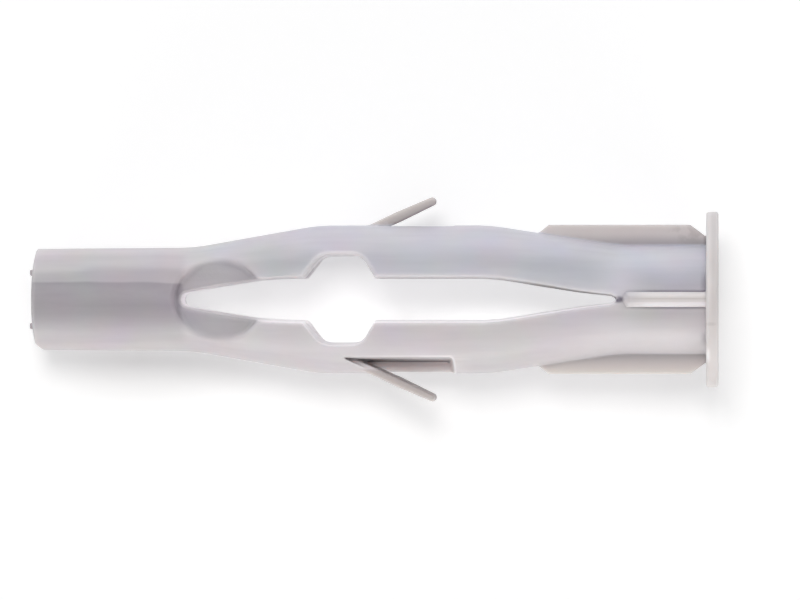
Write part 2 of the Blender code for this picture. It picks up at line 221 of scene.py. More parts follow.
# %% [markdown]
# ## Fins, ribs, collar and nubs
#
# What stands out from the body lies along two planes: the fins in the plane where the mould parts, and the
# ribs above and below. Folding y or z to its absolute value writes both of a pair at once. Each is a flat
# outline given thickness, with edges rounded by a tenth or two of a millimetre, then joined to the body
# with a small fillet. The fins slim a little towards their crest, so that the mould lets them go.

# %% Fins
FIN_LEAD = 5.7
FIN_HEIGHT = 1.49
FIN_THICKNESS = 1.0
FIN_FRONT_RAMP = 0.75
FIN_BACK_RAMP = 1.15
FIN_BACK_HEIGHT = 0.62
FIN_SLIMMING = 0.05
FIN_ROUNDING = 0.16
SUNK = 1.0
INTO_COLLAR = 0.4
fin_start = SLOT_END - FIN_LEAD
fin_crest = NECK_RADIUS + FIN_HEIGHT
fin_outline = np.array([
    (fin_start, NECK_RADIUS - SUNK),
    (fin_start, float(body_radius(fin_start) + bow(fin_start))),
    (fin_start + FIN_FRONT_RAMP, fin_crest),
    (COLLAR_FACE - FIN_BACK_RAMP, fin_crest),
    (COLLAR_FACE, NECK_RADIUS + FIN_BACK_HEIGHT),
    (COLLAR_FACE + INTO_COLLAR, NECK_RADIUS + FIN_BACK_HEIGHT),
    (COLLAR_FACE + INTO_COLLAR, NECK_RADIUS - SUNK),
])


def fin_distance(x, y, z):
    """The fin's outline, shared with its thickness, which shrinks a little towards the crest."""
    side = np.abs(y)
    flat = outline_distance(x, side, fin_outline)
    thick = np.abs(z) - FIN_THICKNESS / 2 + FIN_SLIMMING * np.clip(side - NECK_RADIUS, 0, None)
    return shared(flat, thick, FIN_ROUNDING)


print("the fins run from", round(fin_start, 2), "to", round(COLLAR_FACE, 2), "mm")

# %% [markdown]
# A rib starts as a point behind the gap's end and rises over its first stretch. It has bevelled long edges,
# which is a third distance that leans at 45 degrees.

# %% Ribs
RIB_WIDTH = 1.1
RIB_HEIGHT = 0.4
RIB_GAP = 0.2
RIB_POINT = 0.55
RIB_RAMP = 0.8
RIB_LEAST = 0.1
RIB_BEVEL = 0.22
RIB_ROUNDING = 0.05
rib_start = SLOT_END + RIB_GAP
rib_outline = np.array([
    (rib_start, 0.0),
    (rib_start + RIB_POINT, RIB_WIDTH / 2),
    (COLLAR_FACE + INTO_COLLAR, RIB_WIDTH / 2),
    (COLLAR_FACE + INTO_COLLAR, -RIB_WIDTH / 2),
    (rib_start + RIB_POINT, -RIB_WIDTH / 2),
])


def rib_distance(x, y, z):
    """The rib's outline, shared with its crest and a bevel that limits outline and height together."""
    flat = outline_distance(x, y, rib_outline)
    height = np.abs(z) - NECK_RADIUS - RIB_HEIGHT * np.clip((x - rib_start) / RIB_RAMP, RIB_LEAST, 1.0)
    bevel = (flat + height + RIB_BEVEL) / math.sqrt(2)
    below = NECK_RADIUS - SUNK - np.abs(z)
    return np.maximum(shared(shared(flat, bevel, RIB_ROUNDING), height, RIB_ROUNDING), below)


print("the ribs start at", round(rib_start, 2), "mm")

# %% [markdown]
# The collar is a thin disc that keeps the plug from slipping into its hole. Two small pegs stand on the
# nose, as a mould leaves them.

# %% Collar and nubs
COLLAR_ROUNDING = 0.2
NUB_OFFSET = 1.95
NUB_RADIUS = 0.23
NUB_LENGTH = 0.4
NUB_ROUNDING = 0.1
NUB_SUNK = 0.6


def collar_distance(x, y, z):
    """A thin disc: distance past its rim, shared with half its thickness."""
    middle = COLLAR_FACE + COLLAR_THICKNESS / 2
    thick = np.abs(x - middle) - COLLAR_THICKNESS / 2
    return shared(np.hypot(y, z) - COLLAR_RADIUS, thick, COLLAR_ROUNDING)


def nub_distance(x, y, z):
    """Two small pegs beside the screw hole: a thin rod with a rounded end, folded to one side."""
    rod = np.hypot(np.abs(y) - NUB_OFFSET, z) - NUB_RADIUS
    return np.maximum(shared(rod, -NUB_LENGTH - x, NUB_ROUNDING), x - NUB_SUNK)


print("the plug with its nubs is", round(COLLAR_FACE + COLLAR_THICKNESS + NUB_LENGTH, 2), "mm long")


# %% [markdown]
# ## Pockets and barbs
#
# Each leg has a pocket that its barb folds into. The pocket is open outwards and to one side of the mould:
# below for the leg at +y and above for the one at -y, so turning a point by half a turn about the axis lets
# one formula serve both. Its wall and its end lean in towards its floor, so that the mould's core can be
# drawn.

# %% Pocket
POCKET_START = SPREAD_END + 1.9
POCKET_LENGTH = 8.0
POCKET_DEPTH = 1.2
POCKET_WALL = BOW + NECK_RADIUS - POCKET_DEPTH
POCKET_UNDERCUT = 0.6
POCKET_DRAFT = math.radians(5.5)
POCKET_END_SLANT = 0.29
BARB_ANGLE = math.radians(24.5)
END_CORNER = 0.2
FRONT_CORNER = 0.1
FLOOR_CORNER = 0.15
pocket_mouth = math.sqrt(NECK_RADIUS**2 - (POCKET_WALL - BOW) ** 2)
print("the pocket opens", round(pocket_mouth, 2), "mm from the parting plane")


def pocket_distance(x, y, z):
    """The largest distance of the pocket's wall, end, slanting front and floor, rounded in its corners."""
    lean = (pocket_mouth + z) * math.tan(POCKET_DRAFT)
    wall = (POCKET_WALL + lean - y) * math.cos(POCKET_DRAFT)
    past_end = x - POCKET_START - POCKET_LENGTH + lean - POCKET_END_SLANT * (y - POCKET_WALL - lean)
    end = past_end / math.hypot(1, POCKET_END_SLANT)
    front = (y - POCKET_WALL) * math.cos(BARB_ANGLE) - (x - POCKET_START) * math.sin(BARB_ANGLE)
    around = shared(shared(wall, end, END_CORNER), front, FRONT_CORNER)
    return shared(around, z - POCKET_UNDERCUT, FLOOR_CORNER)


# %% [markdown]
# The barb springs from the front end of the pocket at 24.5 degrees and digs into the masonry when the plug
# is pulled. It is a straight blade with a round end, thickest past its middle, that slims towards the side
# that the core was drawn to. Its shape is the distance from its middle line less a half thickness that
# varies along it.

# %% Barb
BARB_LENGTH = 7.4
BARB_FAR = 0.35
BARB_WIDTH = 2.05
BARB_DRAFT = math.radians(3.0)
BARB_ROOT = 0.35
BARB_WIDEST = 4.4
BARB_HALF = 0.4
BARB_END_HALF = 0.32
BARB_ROUNDING = 0.13


def barb_distance(x, y, z):
    """Distance from the barb's middle line less its half thickness, shared with its two flat sides."""
    along = (x - POCKET_START) * math.cos(BARB_ANGLE) + (y - POCKET_WALL) * math.sin(BARB_ANGLE)
    across = (y - POCKET_WALL) * math.cos(BARB_ANGLE) - (x - POCKET_START) * math.sin(BARB_ANGLE)
    round_end = BARB_LENGTH - BARB_END_HALF
    half = np.interp(along, [-BARB_ROOT, BARB_WIDEST, round_end], [BARB_END_HALF, BARB_HALF, BARB_END_HALF])
    past_end = np.maximum(along - round_end, 0)
    blade = np.hypot(past_end, across) - half + (BARB_FAR - z) * math.tan(BARB_DRAFT)
    blade = np.maximum(blade, -BARB_ROOT - along)
    sides = np.abs(z - BARB_FAR + BARB_WIDTH / 2) - BARB_WIDTH / 2
    return shared(blade, sides, BARB_ROUNDING)


print("the barbs are", BARB_LENGTH, "mm long and", 2 * BARB_HALF, "mm thick at most")


# %% [markdown]
# ## Recesses, gap and screw hole
#
# A flat recess, a little longer than wide, lies over the start of the gap on both faces. It is an upright
# cylinder with a floor, and its lower edge has a generous radius.

# %% Recess
RECESS_CENTRE = 13.8
RECESS_RADIUS = 2.9
RECESS_LENGTHENED = 1.1
RECESS_DEPTH = 1.1
RECESS_CORNER = 0.45


def recess_distance(x, y, z):
    """An upright cylinder, a tenth longer than wide, with its floor a depth under the body's crest."""
    around = np.hypot((x - RECESS_CENTRE) / RECESS_LENGTHENED, y) - RECESS_RADIUS
    floor = float(body_radius(RECESS_CENTRE)) - RECESS_DEPTH
    return shared(around, floor - np.abs(z), RECESS_CORNER)


print("the recess is", round(2 * RECESS_RADIUS * RECESS_LENGTHENED, 2), "by", 2 * RECESS_RADIUS, "mm")

# %% [markdown]
# The gap starts round, widens along the legs, has the rounded notch where each leg folds, and narrows to a
# small blunt end. Its half widths are stations along the axis, read from the edges of the gap in the
# photograph. Its walls are closest at the parting plane and lean apart by 3.5 degrees, less towards the
# closed end, so the distance to its outline is eased by the height above that plane.

# %% The gap's outline
SLOT_START = BARREL_LENGTH - 0.7
SLOT_TIP = 0.42
SLOT_DRAFT = math.radians(3.5)
OPENING = [(12.0, 0.53), (13.6, 0.82), (15.1, 1.05), (16.5, 1.27), (18.0, 1.36), (19.2, 1.39)]
NOTCH = [(20.0, 1.39), (21.3, 3.08), (24.0, 3.08), (25.0, 1.38)]
CLOSING = [(33.0, 1.37), (34.1, 1.28), (35.5, 1.07), (37.0, 0.81), (38.5, 0.58), (39.9, 0.40), (41.4, 0.27)]
CLOSING += [(42.2, 0.21), (42.45, 0.08)]
NOTCH_ROUNDING = (0.6, 1.0, 1.0, 0.4)
BEYOND_AXIS = -5.0


def rounded_corner(before, corner, after, radius, steps=7):
    """Points of the arc that rounds a corner between two straight runs."""
    corner = np.array(corner)
    back = np.array(before) - corner
    ahead = np.array(after) - corner
    back /= np.linalg.norm(back)
    ahead /= np.linalg.norm(ahead)
    half_angle = math.acos(float(back @ ahead)) / 2
    middle = (back + ahead) / np.linalg.norm(back + ahead)
    centre = corner + middle * radius / math.sin(half_angle)
    swing = math.pi / 2 - half_angle
    side = np.array([-middle[1], middle[0]]) * np.sign(middle[0] * back[1] - middle[1] * back[0])
    turns = np.linspace(swing, -swing, steps)
    return [tuple(centre - radius * (middle * math.cos(a) - side * math.sin(a))) for a in turns]


def gap_outline():
    """One wall of the gap from its round start to its blunt end, closed far beyond the axis."""
    turn = np.linspace(0.0, math.pi / 2, 7)
    points = [(SLOT_START + SLOT_TIP * (1 - math.cos(a)), SLOT_TIP * math.sin(a)) for a in turn]
    notch = [OPENING[-1]] + NOTCH + [CLOSING[0]]
    points += OPENING
    for before, corner, after, radius in zip(notch, notch[1:], notch[2:], NOTCH_ROUNDING):
        points += rounded_corner(before, corner, after, radius)
    return np.array(points + CLOSING + [(SLOT_END, BEYOND_AXIS), (SLOT_START, BEYOND_AXIS)])


gap_corners = gap_outline()
print("the gap's outline has", len(gap_corners), "corners")

# %% The gap with its leaning walls
LEAN_LENGTH = 6.0
LEAN_SHARE = 0.25
LEAST_LEAN = 0.3


def gap_distance(x, y, z):
    """Distance to the outline, folded to one side, less what the leaning wall has moved at this height."""
    flat = outline_distance(x, np.abs(y), gap_corners)
    share = np.clip((SLOT_END - x) / LEAN_LENGTH + LEAN_SHARE, LEAST_LEAN, 1.0)
    lean = np.abs(z) * math.tan(SLOT_DRAFT) * share
    return (flat - lean) * math.cos(SLOT_DRAFT)


print("the gap is", round(2 * max(half for _, half in NOTCH), 2), "mm wide at the notch")

# %% [markdown]
# The screw hole follows the same bow as the body, so each leg carries half of it as a groove. It is narrow
# in the barrel, wide in the neck, and flares at the collar, where the screw is put in.

# %% Screw hole
HOLE_IN_BARREL = 1.5
HOLE_IN_NECK = 2.3
HOLE_MOUTH = 2.8
MOUTH_LENGTH = 1.2


def hole_distance(x, y, z):
    """Distance from the leg's own axis less the hole's radius, which grows along the plug."""
    stations = [BARREL_LENGTH, SLOT_END, PLUG_END - MOUTH_LENGTH, PLUG_END]
    radius = np.interp(x, stations, [HOLE_IN_BARREL, HOLE_IN_NECK, HOLE_IN_NECK, HOLE_MOUTH])
    return np.hypot(np.maximum(np.abs(y) - bow(x), 0), z) - radius


print("the screw hole is", 2 * HOLE_IN_BARREL, "mm wide in the barrel and", 2 * HOLE_IN_NECK, "in the neck")


# %% [markdown]
# ## The whole plug as one distance
#
# The order is the mould's: the pockets are taken out of the body, the barbs, fins, ribs, nubs and collar
# grow on it, and the recesses, the gap and the screw hole go through everything. The radii are what a worn
# mould gives: hardly any at the feather edges, a quarter of a millimetre along the gap, where the
# photograph shows a light line. Two thousandths of a millimetre come off all round, which keeps the
# finished skin within the CAD's box but for rounding.

# %% Put together
SKIN_INSET = 0.002
ROUNDING = {"pocket": 0.1, "barb": 0.12, "fin": 0.1, "rib": 0.03, "nub": 0.06, "collar": 0.12}
ROUNDING.update({"recess": 0.4, "gap": 0.25, "hole": 0.1})


def plug_distance(x, y, z):
    """The body less its pockets, joined by what stands out of it, less the recesses, the gap and the hole."""
    plug = body_distance(x, y, z)
    for side in (1, -1):
        plug = cut(plug, pocket_distance(x, side * y, side * z), ROUNDING["pocket"])
    for side in (1, -1):
        plug = joined(plug, barb_distance(x, side * y, side * z), ROUNDING["barb"])
    plug = joined(plug, fin_distance(x, y, z), ROUNDING["fin"])
    plug = joined(plug, rib_distance(x, y, z), ROUNDING["rib"])
    plug = joined(plug, nub_distance(x, y, z), ROUNDING["nub"])
    plug = joined(plug, collar_distance(x, y, z), ROUNDING["collar"])
    plug = cut(plug, recess_distance(x, y, z), ROUNDING["recess"])
    plug = cut(plug, gap_distance(x, y, z), ROUNDING["gap"])
    return cut(plug, hole_distance(x, y, z), ROUNDING["hole"]) + SKIN_INSET


off_skin = np.abs(plug_distance(*cad_level.T))
print("CAD corners lie off this skin by", round(float(off_skin.mean()), 3), "mm on average,",
      round(float(np.percentile(off_skin, 99)), 3), "for all but one in a hundred")

# %% [markdown]
# ## From distance to skin
#
# The distance is sampled on a grid of boxes a tenth of a millimetre across, in slabs along the plug to
# spare memory. A box whose corners lie on both sides of the skin holds one vertex, at the mean of the
# places where the skin crosses its edges, and each crossed edge gives a four-sided face between the four
# boxes around it. That is the surface nets method. It gives an even, closed mesh, and all of it is
# whole-array numpy. The grid starts three quarters of a box further out than the margin, because there no
# box holds two sheets of skin at once, which would leave an edge with four faces.

# %% Sample the distance
STEP = 0.1
MARGIN = 3
MARGIN_AT_NOSE = 3.75
SLABS = 24
reach = np.abs(cad_level).max(axis=0) + MARGIN * STEP
x_line = np.arange(cad_level[:, 0].min() - MARGIN_AT_NOSE * STEP, reach[0], STEP, dtype=np.float32)
y_line = np.arange(-reach[1], reach[1] + STEP, STEP, dtype=np.float32)
z_line = np.arange(-reach[2], reach[2] + STEP, STEP, dtype=np.float32)
samples = np.concatenate([
    plug_distance(slab[:, None, None], y_line[None, :, None], z_line[None, None, :]).astype(np.float32)
    for slab in np.array_split(x_line, SLABS)
])
print("sampled", samples.shape, "points")


# %% Surface nets
def surface_net(field, lines):
    """Vertices at the mean edge crossing of each mixed box, and a face round each crossed grid edge."""
    inside = field < 0
    count = np.zeros(np.array(field.shape) - 1, np.uint8)
    for corner in np.ndindex(2, 2, 2):
        count += inside[tuple(slice(c, n - 1 + c) for c, n in zip(corner, field.shape))]
    mixed = (count > 0) & (count < 8)
    number = np.full(count.shape, -1, np.int32)
    number[mixed] = np.arange(mixed.sum())
    boxes = np.argwhere(mixed)
    total = np.zeros(boxes.shape)
    crossings = np.zeros(len(boxes))
    faces = []
    for a in range(3):
        b, c = (a + 1) % 3, (a + 2) % 3
        for across in np.ndindex(2, 2):
            low = boxes.copy()
            low[:, b] += across[0]
            low[:, c] += across[1]
            high = low.copy()
            high[:, a] += 1
            f_low, f_high = field[tuple(low.T)], field[tuple(high.T)]
            crossed = (f_low < 0) != (f_high < 0)
            point = np.stack([line[i] for line, i in zip(lines, low.T)], axis=1).astype(float)
            point[crossed, a] += (STEP * f_low[crossed] / (f_low[crossed] - f_high[crossed]))
            total[crossed] += point[crossed]
            crossings += crossed
        first = inside.take(range(inside.shape[a] - 1), axis=a)
        second = inside.take(range(1, inside.shape[a]), axis=a)
        edges = np.argwhere(first != second)
        ring = []
        for db, dc in ((-1, -1), (0, -1), (0, 0), (-1, 0)):
            box = edges.copy()
            box[:, b] += db
            box[:, c] += dc
            ring.append(number[tuple(box.T)])
        quads = np.stack(ring, axis=1)
        inward = ~first[tuple(edges.T)]
        quads[inward] = quads[inward][:, ::-1]
        faces.append(quads)
    return total / crossings[:, None], np.concatenate(faces)


net_points, net_faces = surface_net(samples, (x_line, y_line, z_line))
print("the net has", len(net_points), "vertices and", len(net_faces), "faces")
print("every face has all its corners:", net_faces.min() >= 0)

# %% [markdown]
# The net has more faces than the flat walls need. A Decimate modifier merges them where the skin is plain
# and keeps them where it turns. Then every vertex is moved along the steepest way onto the exact skin,
# three times, and the direction of that way is kept as the vertex's normal. So the light runs over the
# moulding as smoothly as over the formula, and the mesh stays light.

# %% Thin the net out
TRIANGLES = 190000


def mesh_from(name, points, faces):
    """A mesh from arrays of points and of faces."""
    mesh = bpy.data.meshes.new(name)
    mesh.from_pydata(points, [], faces)
    mesh.update()
    return mesh


draft = bpy.data.objects.new("net", mesh_from("net", net_points, net_faces))
bpy.context.scene.collection.objects.link(draft)
thin = draft.modifiers.new("fewer faces", "DECIMATE")
thin.ratio = TRIANGLES / (2 * len(net_faces))
skin = bpy.data.meshes.new_from_object(draft.evaluated_get(bpy.context.evaluated_depsgraph_get()))
bpy.data.objects.remove(draft)
loop_edges = np.empty(len(skin.loops), np.int32)
skin.loops.foreach_get("edge_index", loop_edges)
odd_edges = np.count_nonzero(np.bincount(loop_edges, minlength=len(skin.edges)) != 2)
print("thinned to", len(skin.polygons), "faces, with", odd_edges, "edges that two faces don't share")


# %% Move the vertices onto the skin
ROUNDS = 3
LEAST_SLOPE = 0.25
LONGEST_MOVE = 0.05


def slope(points, span=0.01):
    """How the distance grows along x, y and z: the difference over a span both ways, divided by both."""
    steps = np.eye(3) * span
    rises = [plug_distance(*(points + s).T) - plug_distance(*(points - s).T) for s in steps]
    return np.stack(rises, axis=1) / (2 * span)


points = np.empty(3 * len(skin.vertices))
skin.vertices.foreach_get("co", points)
points = points.reshape(-1, 3)
for _ in range(ROUNDS):
    rise = slope(points)
    off = plug_distance(*points.T) / np.maximum((rise**2).sum(axis=1), LEAST_SLOPE)
    points -= np.clip(off, -LONGEST_MOVE, LONGEST_MOVE)[:, None] * rise
rise = slope(points)
normals = rise / np.maximum(np.linalg.norm(rise, axis=1), 1e-6)[:, None]
furthest = float(np.abs(plug_distance(*points.T)).max())
print("vertices lie off the skin by at most", round(furthest, 4), "mm")

# %% The finished body
skin.vertices.foreach_set("co", to_world(points).astype(np.float32).ravel())
skin.update()
skin.name = "moulded_plug"
skin.shade_smooth()
skin.normals_split_custom_set_from_vertices(turned(normals, -tilt).tolist())
plug = bpy.data.objects.new("moulded_plug", skin)
bpy.context.scene.collection.objects.link(plug)
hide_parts("plug_body")
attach(plug, "root")
print("the finished plug has", len(skin.vertices), "vertices and", len(skin.polygons), "faces")

# %% [markdown]
# ## Shader maths as Python
#
# A material is a graph of nodes. Wrapping a socket in a small class lets sums and products of masks be
# written as plain expressions, each of which adds its Math node.

# %% Sockets that can be added and multiplied
class Wire:
    """An output socket; arithmetic on it adds Math nodes to its tree."""

    def __init__(self, tree, socket):
        self.tree = tree
        self.socket = socket

    def beside(self, name):
        """Another output of the same node."""
        return Wire(self.tree, self.socket.node.outputs[name])

    def maths(self, operation, *values):
        """A Math node on the values."""
        return add_node(self.tree, "ShaderNodeMath", {"operation": operation}, dict(enumerate(values)))

    def __add__(self, other):
        return self.maths("ADD", self, other)

    def __sub__(self, other):
        return self.maths("SUBTRACT", self, other)

    def __rsub__(self, other):
        return self.maths("SUBTRACT", other, self)

    def __mul__(self, other):
        return self.maths("MULTIPLY", self, other)

    def __abs__(self):
        return self.maths("ABSOLUTE", self)

    __radd__ = __add__
    __rmul__ = __mul__


def add_node(tree, kind, settings=None, inputs=None, output=0):
    """A node of a kind: first its settings, then the values or wires of its sockets. Returns one output."""
    node = tree.nodes.new(kind)
    for name, value in (settings or {}).items():
        setattr(node, name, value)
    for name, value in (inputs or {}).items():
        if isinstance(value, Wire):
            tree.links.new(value.socket, node.inputs[name])
        else:
            node.inputs[name].default_value = value
    return Wire(tree, node.outputs[output])


def step_between(value, low, high):
    """Zero below low, one above high, and an S curve between."""
    settings = {"interpolation_type": "SMOOTHSTEP", "clamp": True}
    inputs = {"Value": value, "From Min": low, "From Max": high}
    return add_node(value.tree, "ShaderNodeMapRange", settings, inputs)


def mixed_colour(factor, first, second, blend="MIX"):
    """A colour between two, or the second laid over the first in a blend mode."""
    tree = factor.tree if isinstance(factor, Wire) else first.tree
    settings = {"data_type": "RGBA", "blend_type": blend}
    return add_node(tree, "ShaderNodeMix", settings, {0: factor, 6: first, 7: second}, output=2)


# %% [markdown]
# ## The nylon
#
# Grey nylon is satin and a little cloudy: light goes into it before it comes back, so thin forms glow and
# the dark of the closed screw hole shows through the barrel as a band. Subsurface scattering gives the
# glow. The band, the warmer tone of thin fins and barbs and the faint streaks along the flow of the melt
# are painted, as functions of the plug's own coordinates, because a path tracer would need far more light
# paths to find them.

# %% The plug's coordinates for patterns
nylon = bpy.data.materials.new("grey_nylon")
nylon.use_nodes = True
tree = nylon.node_tree
shader = tree.nodes["Principled BSDF"]
lay_down = Matrix.Rotation(-tilt, 3, "Y")
nose = lay_down @ Vector(axis_start * MM)
own = add_node(tree, "ShaderNodeMapping", {"vector_type": "TEXTURE"}, {
    "Vector": add_node(tree, "ShaderNodeTexCoord", output="Object"),
    "Location": nose,
    "Rotation": (0.0, -tilt, 0.0),
    "Scale": (MM, MM, MM),
})
along = add_node(tree, "ShaderNodeSeparateXYZ", {}, {0: own}, "X")
across, up = along.beside("Y"), along.beside("Z")
print("the nylon's patterns start at", [round(c, 5) for c in nose], "m")

# %% [markdown]
# ## Masks worked out on the vertices
#
# Some finishes, and the painted shade and highlights, follow the forms too closely for bands and circles:
# where a fin or a barb stands out of the body, the inside of a pocket, the walls of the gap. So numpy works
# those masks out from the same distances that gave the shape, and keeps each one as a value on every vertex,
# which the material reads as an attribute. Fins and barbs come first: the mask is full on the form itself and
# falls off within two tenths of a millimetre of it.

# %% Masks of the fins and barbs
MASK_REACH = 0.2
px, py, pz = points.T


def ramp(values, start, end):
    """Zero up to the start, one from the end on, and a straight line between; it may also run downwards."""
    return np.clip((values - start) / (end - start), 0, 1)


def fades(distance, width):
    """One at distance zero or less, falling to zero at the width along a bell curve."""
    return np.exp(-((np.maximum(distance, 0) / width) ** 2) * 2)


def vertex_mask(name, values):
    """Stores a number on every vertex of the skin and returns the wire that brings it into the material."""
    skin.attributes.new(name, "FLOAT", "POINT").data.foreach_set("value", values.astype(np.float32))
    print("the mask", name, "covers", round(100 * float(values.mean()), 1), "% of the vertices")
    return add_node(tree, "ShaderNodeAttribute", {"attribute_name": name}, output="Fac")


stands_out = ramp(body_distance(px, py, pz), 0.02, 0.14)
fin_mask = vertex_mask("fin", fades(fin_distance(px, py, pz), MASK_REACH) * stands_out)
of_barb = np.maximum(*[fades(barb_distance(px, side * py, side * pz), MASK_REACH) for side in (1, -1)])
barb_mask = vertex_mask("barb", of_barb * stands_out)
# The inner side of each barb, which gets a painted shade.
outwards, onwards = np.abs(py) - POCKET_WALL, px - POCKET_START
above_middle = outwards * math.cos(BARB_ANGLE) - onwards * math.sin(BARB_ANGLE)
barb_inside_shade = vertex_mask("barb_inside_shade", ramp(above_middle, 0.2, -0.3))

# %% [markdown]
# In the photograph the wall of the pocket is nearly black along its foot, where little light gets in, and
# the floor is pale. The way a vertex faces tells them apart, and the wall's mask weakens with the height
# above the floor. The rim of the pocket catches the light, because it also leaves the nylon there.

# %% Masks of the pockets
PALEST_WALL = 0.25
near_pocket = np.minimum(*[pocket_distance(px, side * py, side * pz) for side in (1, -1)])
in_pocket = fades(near_pocket, 0.03) * (1 - of_barb)
faces_sideways = ramp(np.abs(normals[:, 1]), 0.5, 0.8)
above_floor = POCKET_UNDERCUT - pz * np.sign(py)
deep = PALEST_WALL + (1 - PALEST_WALL) * ramp(above_floor, 2.42, 0.22)
# Painted shade on the pocket's wall, darkest along its foot.
pocket_wall = vertex_mask("pocket_wall", in_pocket * faces_sideways * deep)
pocket_floor = vertex_mask("pocket_floor", in_pocket * (1 - faces_sideways))
# A painted highlight just outside the pocket's rim.
just_outside = fades(near_pocket - 0.05, 0.16) * (near_pocket > 0.01)
pocket_rim = just_outside * ramp(px, POCKET_START + 1.0, POCKET_START + 2.5) * (1 - of_barb)

# %% [markdown]
# The walls of the gap look like the legs near the nose. Towards the collar the wall of the upper leg,
# turned from the window, is dark, and the wall of the lower leg glows, because light comes through the
# nylon behind it. A faint glow also stands where the screw hole opens into the start of the gap.

# %% Masks of the gap's walls
near_gap = gap_distance(px, py, pz)
legs_only = ramp(px, 10.6, 11.0) * ramp(px, 44.0, 43.0)
below_skin = ramp(np.abs(pz), 2.4, 2.1)
wall = np.clip(1.3 - near_gap / (0.09 + 0.2 * below_skin), 0, 1) * legs_only
upper_closing = ramp(px, CLOSING_START - 0.4, CLOSING_START + 3.6) * (py > 0)
off_notch = ramp(np.abs(px - 22.6), 2.2, 2.7)
lower_leg = ramp(px, 15.5, 17.5) * (py < 0) * (0.35 + 0.65 * off_notch)
at_hole = ramp(np.abs(hole_distance(px, py, pz)), 0.18, 0.06) * ramp(px, 8.5, 10.0) * ramp(px, 13.5, 12.5)
# Painted shade on the upper leg's wall towards the collar, painted light on the other walls, and a painted
# glow where light comes through the nylon.
dark_wall = vertex_mask("dark_wall", wall * upper_closing)
light_wall = vertex_mask("light_wall", wall * (1 - upper_closing))
let_through = wall * (1 - upper_closing) * np.maximum(0.35 * below_skin, 0.7 * lower_leg)
glowing = vertex_mask("glowing", np.maximum(let_through, 0.75 * at_hole))
# A painted highlight along the upper leg's edge of the gap, joined with the one round the pocket's rim.
upper_rim = fades(near_gap - 0.12, 0.18) * (1 - wall) * ramp(np.abs(pz), 1.8, 2.4) * ramp(px, 18.0, 20.0)
gap_rim = 0.4 * upper_rim * legs_only * (py > 0)
rim_highlight_mask = vertex_mask("rim", np.maximum(gap_rim, pocket_rim))

# %% [markdown]
# ## Clouds and streaks
#
# Moulded nylon is never one even grey. The photograph's upper half is bluish, lit by the sky, and the lower
# half is a little pink. Large soft clouds and faint streaks along the flow of the melt vary both. The upper
# leg gets a shade where it turns away from the window, and the lower one is paler where it faces the light.

# %% The grey of the body
BLUISH_NYLON = (0.62, 0.61, 0.67, 1.0)
PINK_NYLON = (0.635, 0.60, 0.62, 1.0)
STREAK = (0.93, 0.93, 0.935, 1.0)
LEG_SHADE = (0.0, 0.02, 0.0, 1.0)
FACING_NYLON = (0.76, 0.728, 0.745, 1.0)


def band(value, start, full, fading, end):
    """One from full to fading, zero before the start and past the end, with S curves between."""
    return step_between(value, start, full) * (1.0 - step_between(value, fading, end))


def noise(vector, scale, detail, output=0):
    """A soft random pattern, by its number of waves to a millimetre."""
    inputs = {"Vector": vector, "Scale": scale, "Detail": detail}
    return add_node(tree, "ShaderNodeTexNoise", {}, inputs, output)


clouds = noise(own, 0.16, 2.0)
# Painted light: the upper side is tinted bluish, as the sky's light tints it, and the lower side stays a
# little pink.
bluer = step_between(along, 10.0, 24.0) * step_between(across + 2.0 * clouds, 0.0, 2.5)
colour = mixed_colour(bluer, PINK_NYLON, BLUISH_NYLON)
stretched = add_node(tree, "ShaderNodeMapping", {}, {"Vector": own, "Scale": (0.12, 1.6, 1.6)})
streaks = 0.8 * step_between(noise(stretched, 1.0, 3.0), 0.35, 0.75)
colour = mixed_colour(streaks, colour, STREAK, "MULTIPLY")
colour = mixed_colour(0.16, colour, noise(own, 0.33, 1.0, "Color"), "SOFT_LIGHT")
# Painted shade on the upper leg where it turns from the light, and a painted highlight on the lower leg where
# it faces it.
turned_away = band(along, 14.0, 18.0, 40.0, 43.5) * band(across, 0.4, 1.0, 2.4, 4.5)
colour = mixed_colour(0.16 * turned_away, colour, LEG_SHADE)
facing = (0.2 + 0.4 * step_between(along, 36.0, 43.0)) * (1.0 - step_between(across, -3.0, -1.0))
colour = mixed_colour(facing * step_between(along, 12.0, 16.0), colour, FACING_NYLON)
print("the body's grey takes", len(tree.nodes), "nodes so far")

# %% [markdown]
# ## The shade of the closed screw hole
#
# The shade of the hollow has two steps in the photograph: a wide soft one where the wall over the hole is
# thick, and a narrow dark one right over the hole. It ends where the gap opens the hole to the light, is
# strong on the thin floors of the recesses, and comes back on the neck, where the ribs stand clear of it.

# %% Shade over the hollow
SHADE = (0.02, 0.0, 0.05, 1.0)


def from_place(x, y, squeeze):
    """Distance in the plan from a place on the plug, with lengths along the axis counted squeezed."""
    inputs = {0: add_node(tree, "ShaderNodeCombineXYZ", {}, {"X": squeeze * along, "Y": across})}
    inputs[1] = (squeeze * x, y, 0.0)
    return add_node(tree, "ShaderNodeVectorMath", {"operation": "DISTANCE"}, inputs, "Value")


wavy = across + 0.4 * clouds - 0.2
near_nose = 0.45 * (1.0 - step_between(along, 2.5, 5.0))
thick_wall = 0.15 * (1.0 - step_between(across + near_nose, 1.9, 2.7))
thin_wall = (0.155 + 0.08 * step_between(wavy, -0.4, 0.7)) * (1.0 - step_between(wavy, 1.15, 1.35))
over_hole = (0.075 + thick_wall + thin_wall) * step_between(wavy, -3.9, -0.2)
barrel_shade = band(along, -0.2, 0.5, 10.8, 11.6) * over_hole

from_recess = from_place(RECESS_CENTRE, 0.0, 1 / RECESS_LENGTHENED)
recess_shade = (0.285 - 0.02 * step_between(across, -1.0, 1.0)) * (1.0 - step_between(from_recess, 2.5, 3.15))
hollow_shade = barrel_shade.maths("MAXIMUM", barrel_shade, recess_shade)

